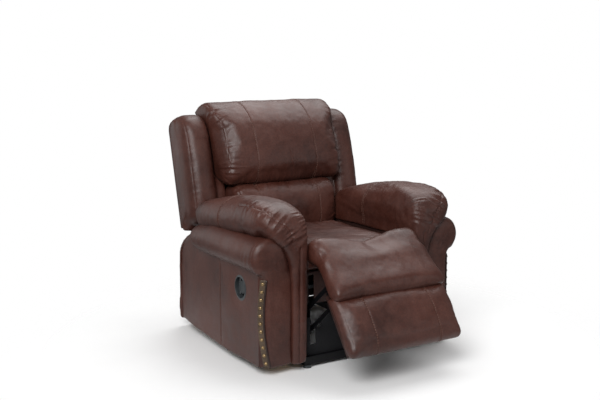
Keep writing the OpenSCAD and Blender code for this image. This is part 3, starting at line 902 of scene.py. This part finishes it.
def arm_fold(obj, p):
    line = surface_line(obj, spline(ARM_GATHER, 0.006, False))
    front = fade(-p[:, 1], 0.20, 0.34)
    d = groove(p, line, 0.0030, 0.004) + gathers(p, line, 0.0060, 0.026, 0.036, 61) * (0.12 + 0.88 * front)
    inner = surface_line(obj, spline([(0.264, -0.41, 0.51), (0.268, -0.43, 0.56), (0.285, -0.42, 0.62),
                                      (0.300, -0.37, 0.655)], 0.006, False))
    d += gathers(p, inner, 0.0045, 0.028, 0.036, 67)
    d += ripples(p, (0.40, -0.18, 0.655), (0.05, 0.0, 0.02), (0, 0.09, 0), 0.0028, 0.026, 71)
    d += ripples(p, (0.262, -0.33, 0.56), (0, 0.02, 0.07), (0, 0.06, -0.02), 0.0045, 0.028, 73)
    cross = (p[:, 2] > 0.46) * (p[:, 0] < 0.475)
    d += -SEAM_DEPTH * np.exp(-((p[:, 1] - ARM_SEAM_Y) / SEAM_WIDTH) ** 2) * cross
    channel = surface_line(obj, STRIP_SEAM)
    d += groove(p, channel, 0.0045, 0.0045) + gathers(p, channel, 0.0020, 0.040, 0.012, 79)
    return d + 0.0028 * value_noise(p / 0.07, 12) * (p[:, 2] > 0.45) + 0.0008 * value_noise(p / 0.018, 13)


def arm_pad(side, name):
    face = [(0.198, 0.462), (0.05, 0.462), (-0.20, 0.464), (-0.380, 0.470), (-0.385, 0.54), (-0.350, 0.600),
        (-0.2, 0.600), (0.05, 0.585), (0.198, 0.560), (0.206, 0.51)]
    skirt = placed(board(spline(face, 0.01), 0.014, 0.010, 0.002), "wuv", -1, (0.262, 0, 0))
    obj = soft(f"arm_cushion_{name}", [swept(ARM_PATH, 84, 3.0), skirt], ARM_SPACE, arm_fold, relax=8,
               cap=0.008, hold=lambda p: np.maximum(fade(-p[:, 2], -0.52, -0.46), fade(p[:, 1], 0.15, 0.2)),
               side=side, crumple=0.55)
    settle(obj, "base", f"arm_pad_{name}", f"arm_drop_{name}", fill=0.75)
    over = [(0.252, ARM_SEAM_Y, z) for z in np.linspace(0.48, 0.62, 16)]
    over += [(x, ARM_SEAM_Y, 0.70) for x in np.linspace(0.27, 0.455, 24)]
    over += [(0.475, ARM_SEAM_Y, z) for z in np.linspace(0.63, 0.55, 8)]
    rows = [np.array(over) + (0, o, 0) for o in ROWS_BESIDE]
    sew(f"arm_stitching_{name}", obj, rows, ARM_SPACE, "base", side)


def arm_roll(side, name):
    rows = [(0.232, 0.440, 0.030, 0.395, 0.452), (0.215, 0.446, 0.046, 0.378, 0.470),
        (0.150, 0.455, 0.060, 0.366, 0.486), (0.000, 0.464, 0.069, 0.358, 0.496),
        (-0.200, 0.468, 0.072, 0.356, 0.500), (-0.352, 0.470, 0.073, 0.355, 0.501),
        (-0.373, 0.470, 0.0725, 0.3555, 0.5005), (-0.381, 0.470, 0.069, 0.359, 0.497),
        (-0.386, 0.470, 0.058, 0.370, 0.486)]

    def fold(obj, p):
        broad = 0.003 * value_noise(p / (0.09, 0.14, 0.09), 14)
        fine = 0.0012 * value_noise(p / (0.05, 0.035, 0.05), 15)
        return broad + fine + ripples(p, (0.49, -0.34, 0.43), (0, 0.02, 0.05), (0, 0.035, 0), 0.002, 0.03, 83)

    obj = soft(f"arm_roll_cover_{name}", [swept(rows, 64, 2.05, 0.1)], ARM_SPACE, fold, relax=5, side=side)
    settle(obj, "base", f"arm_roll_{name}", fill=0.8)


def scroll_outline():
    """Outline of the panel on the front of an arm, as (x, z)."""
    cx, cz, r = 0.427, 0.470, 0.079
    arc = [(cx + r * math.cos(a), cz + r * math.sin(a)) for a in np.radians(np.arange(-50, 131, 15))]
    body = [(0.356, 0.502), (0.336, 0.455), (0.328, 0.395), (0.327, 0.300), (0.327, 0.160), (0.327, 0.060),
        (0.329, 0.038), (0.345, 0.035), (0.415, 0.035), (0.430, 0.036), (0.436, 0.055), (0.439, 0.130),
        (0.440, 0.230), (0.440, 0.330), (0.444, 0.380), (0.458, 0.402)]
    return spline(arc + body, 0.008)


def trim_at(t):
    """Middle of the nailed strip, as (y, z) in the frame of the arm's slanted front corner."""
    return 0.018 * np.sin(np.pi * t) - 0.022 + 0.012 * t, 0.040 + 0.347 * t


def moved(form, matrix):
    points, faces = form
    return np.array([tuple(matrix @ Vector(p)) for p in points]), faces


CORNER_TO_ARM = ARM_SPACE.inverted() @ CORNER_SPACE


def arm_front(side, name):
    radius = lambda u, v: ((0.007 + 0.019 * fade(v, 0.37, 0.43) + 0.011 * fade(-u, -0.38, -0.35))
                           * (0.35 + 0.65 * fade(v, 0.036, 0.075)))
    face = placed(board(scroll_outline(), 0.024, radius, 0.006, reach=0.04), "uwv", -1, (0, -0.4085, 0))
    corner = closed_outline([(-0.034, 0.036), (0.009, 0.036), (0.011, 0.409), (-0.034, 0.409)], 0.008)
    turn = moved(placed(board(corner, 0.016, 0.003, 0.001, reach=0.02), "wuv"), CORNER_TO_ARM)

    def fold(obj, p):
        d = ripples(p, (0.40, -0.41, 0.44), (0.02, 0, 0.03), (0.02, 0, -0.03), 0.0018, 0.018, 91)
        low = fade(0.40 - p[:, 2], 0, 0.03) * fade(p[:, 0], 0.42, 0.435)
        uneven = 0.0016 * value_noise(p / 0.07, 17) + 0.0006 * value_noise(p / 0.018, 18)
        return d * (1 - low) + uneven * (1 - low)

    obj = soft(f"arm_scroll_{name}", [face, turn], ARM_SPACE, fold, voxel=0.005, relax=4, side=side)
    settle(obj, "base", f"arm_front_{name}", fill=0.9)


def nail_strip(side, name):
    t = np.linspace(0, 1, 30)
    y, z = trim_at(t)
    edge = [(a - 0.014, b) for a, b in zip(y, z)] + [(a + 0.012, b) for a, b in zip(y[::-1], z[::-1])]
    form = placed(board(closed_outline(edge, 0.006), 0.004, 0.0022, 0.0006, 0.005), "wuv", 1, (0.004, 0, 0))
    strip = add_mesh(f"nail_strip_{name}", *form, CORNER_SPACE, TRIM)
    line = even(np.array([(0.0042, a - 0.0145, b) for a, b in zip(y, z)]), 0.008)
    welt = add_mesh(f"scroll_welt_{name}", *tube(line, 0.0038, 8), CORNER_SPACE, PIPING)
    for obj in (strip, welt):
        mirror(obj, side)
    settle(welt, "base")
    settle(strip, "base", "nail_trim")


CUP_HOLE = 0.047


def arm_side(side, name):
    cup = (0.165, 0.320)
    front = [(0.006, z) for z in np.linspace(0.036, 0.402, 24)]
    rest = [(0.030, 0.409), (0.10, 0.413), (0.30, 0.413), (0.46, 0.411), (0.560, 0.414), (0.600, 0.430),
        (0.632, 0.460), (0.728, 0.416), (0.754, 0.392), (0.779, 0.350), (0.786, 0.20), (0.784, 0.052),
        (0.774, 0.043), (0.60, 0.038), (0.35, 0.030), (0.20, 0.031), (0.08, 0.034)]
    outline = closed_outline(front + rest, 0.010)
    turns = np.linspace(0, 2 * math.pi, 40)[:-1]
    hole = np.array([(cup[0] + CUP_HOLE * math.cos(a), cup[1] + CUP_HOLE * math.sin(a)) for a in turns])
    holes = [hole] if side < 0 else []
    near_cup = lambda u, v: np.exp(-(np.hypot(u - cup[0], v - cup[1]) / 0.075) ** 4) if side < 0 else 0 * u
    radius = lambda u, v: np.where(near_cup(u, v) > 0.5, 0.0025,
                                   0.0035 + 0.0105 * fade(u, 0.06, 0.14) * (0.35 + 0.65 * fade(v, 0.03, 0.09))
                                   * (1 - 0.8 * fade(v, 0.36, 0.39) * fade(0.62 - u, 0, 0.05)))
    points, faces = board(outline, 0.012, radius, 0.0, 0.009, holes)
    u, v, w = points.T
    puff = 0.0015 + (0.0085 * fade(u, 0.05, 0.25) * fade(0.80 - u, 0.02, 0.2) + 0.001) * (1 - near_cup(u, v))
    uneven = 0.0016 * flat_noise(u, v, 0.09, 23) * fade(u, 0.08, 0.16) * (1 - near_cup(u, v))
    puff = puff - 0.0022 * np.exp(-((u - 0.335) / 0.004) ** 2) + uneven
    points[:, 2] = np.where(w > -0.0119, w + puff, w)
    obj = add_mesh(f"arm_side_cover_{name}", *placed((points, faces), "wuv"), SIDE_SPACE)
    mirror(obj, side)
    settle(obj, "base", f"arm_side_{name}", fill=0.95)
    seam = [(0.012, 0.340, z) for z in np.linspace(0.045, 0.39, 60)]
    sew(f"side_stitching_{name}", obj, [seam], SIDE_SPACE, "base", side)


def arm_rear(side, name):
    outline = [(0.390, 0.038), (0.400, 0.050), (0.401, 0.200), (0.395, 0.343), (0.371, 0.390),
        (0.343, 0.415), (0.295, 0.440), (0.238, 0.474), (0.232, 0.462), (0.286, 0.430), (0.333, 0.404),
        (0.357, 0.381), (0.379, 0.340), (0.384, 0.200), (0.382, 0.050)]
    form = pillow(outline, 0.276, 0.4425, 0.014, 0.008)

    def fold(obj, p):
        return 0.0016 * value_noise(p / 0.08, 27)

    obj = soft(f"arm_rear_cover_{name}", [form], ARM_SPACE, fold, voxel=0.005, relax=2, side=side)
    settle(obj, "base", f"arm_back_{name}", fill=0.9)


def arm_inner(side, name):
    corners = [(-0.384, 0.037), (0.376, 0.037), (0.376, 0.350), (0.345, 0.406), (0.205, 0.470),
        (-0.384, 0.530)]
    lining = board(closed_outline(corners, 0.012), 0.014, 0.004, 0.002, 0.014)
    form = placed(lining, "wuv", -1, (0.2755, 0, 0))
    # The lining beside the seat takes the darker leather copy, which is painted shade.
    obj = add_mesh(f"arm_lining_{name}", *form, ARM_SPACE, LEATHER_PAINTED_SHADE)
    mirror(obj, side)
    settle(obj, "base", f"arm_inner_{name}")


def flat_panels():
    """Rear apron between the arms, valance under the seat in the leather copy with painted shade, and the
    black cover behind the front rail.
    """
    sheet = closed_outline([(-0.2755, 0.046), (0.2755, 0.046), (0.2755, 0.396), (-0.2755, 0.396)], 0.010)
    form = placed(board(sheet, 0.010, 0.006, 0.004, 0.012), "uwv", 1, (0, 0.391, 0))
    apron = add_mesh("rear_apron_cover", *form, ARM_SPACE)
    settle(apron, "base", "rear_apron", fill=0.95)
    tabs = [(-0.262, 0.252), (-0.228, 0.252), (-0.228, 0.370), (-0.202, 0.370), (-0.202, 0.252),
        (0.202, 0.252), (0.202, 0.370), (0.228, 0.370), (0.228, 0.252), (0.262, 0.252), (0.262, 0.383),
        (-0.262, 0.383)]
    points, faces = board(closed_outline(tabs, 0.008), 0.006, 0.003, 0.0, 0.009)
    drop = fade(0.38 - points[:, 1], 0, 0.12)
    points[:, 2] += 0.003 * flat_noise(points[:, 0], points[:, 1] * 0.3, 0.05, 33) * drop
    form = placed((points, faces), "uwv", -1, (0, -0.364, 0))
    # The valance under the seat front takes the darker leather copy, which is painted shade.
    valance = add_mesh("seat_valance_cover", *form, ARM_SPACE, LEATHER_PAINTED_SHADE)
    settle(valance, "seat", "seat_valance")
    half = [(0.234, 0.012), (0.234, 0.051), (0.264, 0.051), (0.264, 0.200), (0.226, 0.200), (0.226, 0.088),
        (0.201, 0.088), (0.201, 0.155), (0.176, 0.155), (0.176, 0.200)]
    points, faces = board(closed_outline(both_sides(half), 0.009), 0.003, 0.0012, 0.0, 0.009)
    points[:, 2] += 0.0025 * flat_noise(points[:, 0], points[:, 1] * 0.4, 0.06, 35)
    form = placed((points, faces), "uwv", -1, (0, -0.374, 0))
    skirt = add_mesh("front_skirt_cover", *form, ARM_SPACE, CLOTH)
    settle(skirt, "base", "front_skirt", slot="black_cloth")


# ---- Seat and footrest ---------------------------------------------------

FOOT_OUTLINE = [(0.040, 0.002), (0.042, -0.110), (0.040, -0.215), (0.030, -0.238), (0.008, -0.243),
    (-0.012, -0.226), (-0.022, -0.170), (-0.025, -0.110), (-0.021, -0.050), (-0.010, -0.010),
    (0.008, 0.002), (0.026, 0.004)]
CHAISE_OUTLINE = [(-0.345, 0.448), (-0.350, 0.484), (-0.378, 0.512), (-0.417, 0.522), (-0.449, 0.507),
    (-0.490, 0.467), (-0.535, 0.424), (-0.580, 0.387), (-0.611, 0.360), (-0.6225, 0.338), (-0.611, 0.321),
    (-0.588, 0.315), (-0.558, 0.326), (-0.514, 0.362), (-0.472, 0.402), (-0.430, 0.424), (-0.385, 0.430)]
SEAT_OUTLINE = [(0.155, 0.392), (0.160, 0.450), (0.130, 0.466), (0.000, 0.466), (-0.150, 0.466),
    (-0.260, 0.470), (-0.330, 0.476), (-0.372, 0.474), (-0.390, 0.440), (-0.388, 0.395), (-0.300, 0.390),
    (0.000, 0.389)]
FOOT_FRONT = part_of(FOOT_OUTLINE, keep=lambda y, z: y < 0.03)
CHAISE_TOP = part_of(CHAISE_OUTLINE, keep=lambda y, z: z > -y - 0.15)


def foot_fold(obj, p):
    d = np.zeros(len(p))
    for s in (-1, 1):
        d += front_seam(p, s * SEAM_X, front=0.03)
        edge = surface_line(obj, at_x(s * (FOOT_X - 0.002), FOOT_FRONT))
        d += groove(p, edge, 0.0012, 0.003) + gathers(p, edge, 0.0007, 0.030, 0.018, 101 + s)
    return d + 0.0018 * value_noise(p / 0.09, 41) + 0.0006 * value_noise(p / 0.02, 42)


def footrest_pad():
    form = pillow(FOOT_OUTLINE, -FOOT_X - 0.004, FOOT_X + 0.004, 0.015, 0.006, bulge=0.003,
                  crown=lambda x, y, z: dome(x, FOOT_X, 0.008) * fade(-y, -0.02, 0.01))
    obj = soft("footrest_cushion", [form], FOOT_SPACE, foot_fold, cap=0.008,
               hold=lambda p: fade(p[:, 1], 0.02, 0.035))
    settle(obj, "footrest", "footrest_pad", fill=0.6)
    sew("footrest_stitching", obj, seam_rows(FOOT_FRONT), FOOT_SPACE, "footrest")


def chaise_fold(obj, p):
    d = ripples(p, (0.0, -0.43, 0.49), (0.05, 0, 0), (0, 0.05, -0.05), 0.003, 0.05, 111)
    d += ripples(p, (0.10, -0.41, 0.505), (0.05, 0.02, 0.03), (0.06, 0, 0), 0.0025, 0.055, 113)
    d += ripples(p, (0.0, -0.50, 0.44), (0.015, 0.05, -0.08), (0.16, 0, 0), 0.0035, 0.05, 117)
    for s in (-1, 1):
        edge = surface_line(obj, at_x(s * (FOOT_X - 0.004), CHAISE_TOP))
        d += gathers(p, edge, 0.0012, 0.036, 0.024, 121 + s)
    low = surface_line(obj, [(x, -0.625, 0.330) for x in np.linspace(-0.25, 0.25, 60)])
    d += gathers(p, low, 0.0010, 0.045, 0.025, 127)
    return d + 0.003 * value_noise(p / 0.13, 44) + 0.0005 * value_noise(p / 0.02, 45)


def chaise_pad():
    def crown(x, y, z):
        crest = fade(z, 0.44, 0.50) * fade(-y, 0.30, 0.36)
        sag = -0.030 * np.exp(-(x / 0.12) ** 2) - 0.014 * fade(np.abs(x), 0.215, 0.262)
        edge = fade(-y, 0.53, 0.60)
        face = fade(-y, 0.44, 0.50)
        return crest * sag + dome(x, FOOT_X, 0.012) * edge + dome(x, FOOT_X, 0.010) * face * (1 - edge)

    form = pillow(CHAISE_OUTLINE, -FOOT_X + 0.001, FOOT_X - 0.001, 0.019, 0.006, bulge=0.004, crown=crown,
                  keep=lambda y, z: 0.35 + 0.45 * fade(z, 0.35, 0.46))
    form[0][:, 0] *= 1 + 0.016 * fade(-form[0][:, 1], 0.46, 0.56)
    obj = soft("chaise_cushion", [form], ARM_SPACE, chaise_fold, cap=0.010)
    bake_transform(obj)
    settle(obj, None, "chaise_pad", fill=0.6)


def seat_cushion():
    def fold(obj, p):
        d = np.zeros(len(p))
        rear = surface_line(obj, [(x, 0.10, 0.475) for x in np.linspace(-0.25, 0.25, 50)])
        d += gathers(p, rear, 0.003, 0.03, 0.05, 131)
        d += ripples(p, (0.10, -0.28, 0.475), (0.08, 0.04, 0), (0.05, 0.10, 0), 0.004, 0.035, 133)
        return d + 0.005 * value_noise(p / 0.10, 47) + 0.0007 * value_noise(p / 0.02, 48)

    form = pillow(SEAT_OUTLINE, -SEAT_X - 0.003, SEAT_X + 0.003, 0.022,
                  crown=lambda x, y, z: (dome(x, SEAT_X, 0.010) - 0.006) * fade(z, 0.42, 0.46))
    obj = soft("seat_cushion_cover", [form], ARM_SPACE, fold, voxel=0.007, cap=0.008,
               hold=lambda p: fade(-p[:, 2], -0.455, -0.43))
    settle(obj, "seat", "seat_cushion", fill=0.7)


def build_all():
    head_pillow()
    lumbar_pillow()
    for side, name in SIDES:
        wing(side, f"wing_{name}")
        arm_pad(side, name)
        arm_roll(side, name)
        arm_front(side, name)
        arm_side(side, name)
        arm_rear(side, name)
        arm_inner(side, name)
    for side, name in SIDES:
        nail_strip(side, name)
    back_cover()
    flat_panels()
    footrest_pad()
    chaise_pad()
    seat_cushion()


# ---- CAD pieces that stay ------------------------------------------------

# CAD pieces in brown leather and in zinc take the darker copies, which carry painted shade.
CAD_MATERIALS = {
    "hardwood": WOOD, "black_steel": BLACK_STEEL, "zinc_steel": ZINC_PAINTED_SHADE, "antique_brass": BRASS,
    "black_plastic": PLASTIC, "white_nylon": NYLON, "black_cloth": CLOTH, "brown_leather": LEATHER_PAINTED_SHADE}


def dress_cad():
    slots = {s["node"]: s["material_slot"] for s in frame["record"]["subparts"]}
    for name, obj in frame["nodes"].items():
        obj.data.materials.clear()
        obj.data.materials.append(CLOTH if name.startswith("back_post") else CAD_MATERIALS[slots[name]])


# ---- Stage ---------------------------------------------------------------


def area_light(name, at, aim, size, power):
    data = bpy.data.lights.new(name, "AREA")
    data.shape = "RECTANGLE"
    data.size, data.size_y = size
    data.energy = power
    light = bpy.data.objects.new(name, data)
    light.location = at
    light.rotation_euler = (Vector(aim) - Vector(at)).to_track_quat("-Z", "Y").to_euler()
    bpy.context.scene.collection.objects.link(light)


def add_world(seen, shining):
    """A white backdrop for the eye, and a dimmer room for the light that falls on the chair."""
    world = bpy.data.worlds.new("studio")
    world.use_nodes = True
    tree = world.node_tree
    white = tree.nodes["Background"]
    room = tree.nodes.new("ShaderNodeBackground")
    for node, strength in ((white, seen), (room, shining)):
        node.inputs["Color"].default_value = (1, 1, 1, 1)
        node.inputs["Strength"].default_value = strength
    path = tree.nodes.new("ShaderNodeLightPath")
    mix = tree.nodes.new("ShaderNodeMixShader")
    tree.links.new(path.outputs["Is Camera Ray"], mix.inputs[0])
    tree.links.new(room.outputs[0], mix.inputs[1])
    tree.links.new(white.outputs[0], mix.inputs[2])
    tree.links.new(mix.outputs[0], tree.nodes["World Output"].inputs["Surface"])
    bpy.context.scene.world = world


def add_stage():
    bpy.context.scene.view_settings.view_transform = "Standard"
    add_world(1.0, 0.17)
    reach = 3.0
    n = Nodes("floor")
    distance = n.add("ShaderNodeVectorMath", operation="LENGTH")
    n.link(n.coords, distance.inputs[0])
    n.link(n.span(distance.outputs["Value"], 1.0, 0.0, 0.6, 1.4), n.shader.inputs["Alpha"])
    speckle = n.noise(3, 2)
    colour = n.ramp(speckle, (0.3, (0.90, 0.90, 0.90)), (0.7, (0.92, 0.92, 0.92)))
    floor_material = n.finish(colour, n.span(speckle, 0.7, 0.8))
    corners = [(-reach, -reach, 0), (reach, -reach, 0), (reach, reach, 0), (-reach, reach, 0)]
    floor = add_mesh("floor", corners, [(0, 1, 2, 3)], smooth=False, material=floor_material)
    area_light("key", (-2.8, -2.6, 3.1), (0, 0, 0.5), (2.4, 2.4), 190)
    area_light("side", (-2.4, 2.8, 1.2), (0, 0, 0.4), (3.2, 2.6), 26)
    area_light("fill", (2.4, -4.2, 1.4), (0, 0, 0.4), (2.6, 2.0), 22)
    area_light("top", (1.2, 0.9, 3.4), (0, 0, 0.5), (3.4, 3.0), 105)


dress_cad()
build_all()
add_stage()
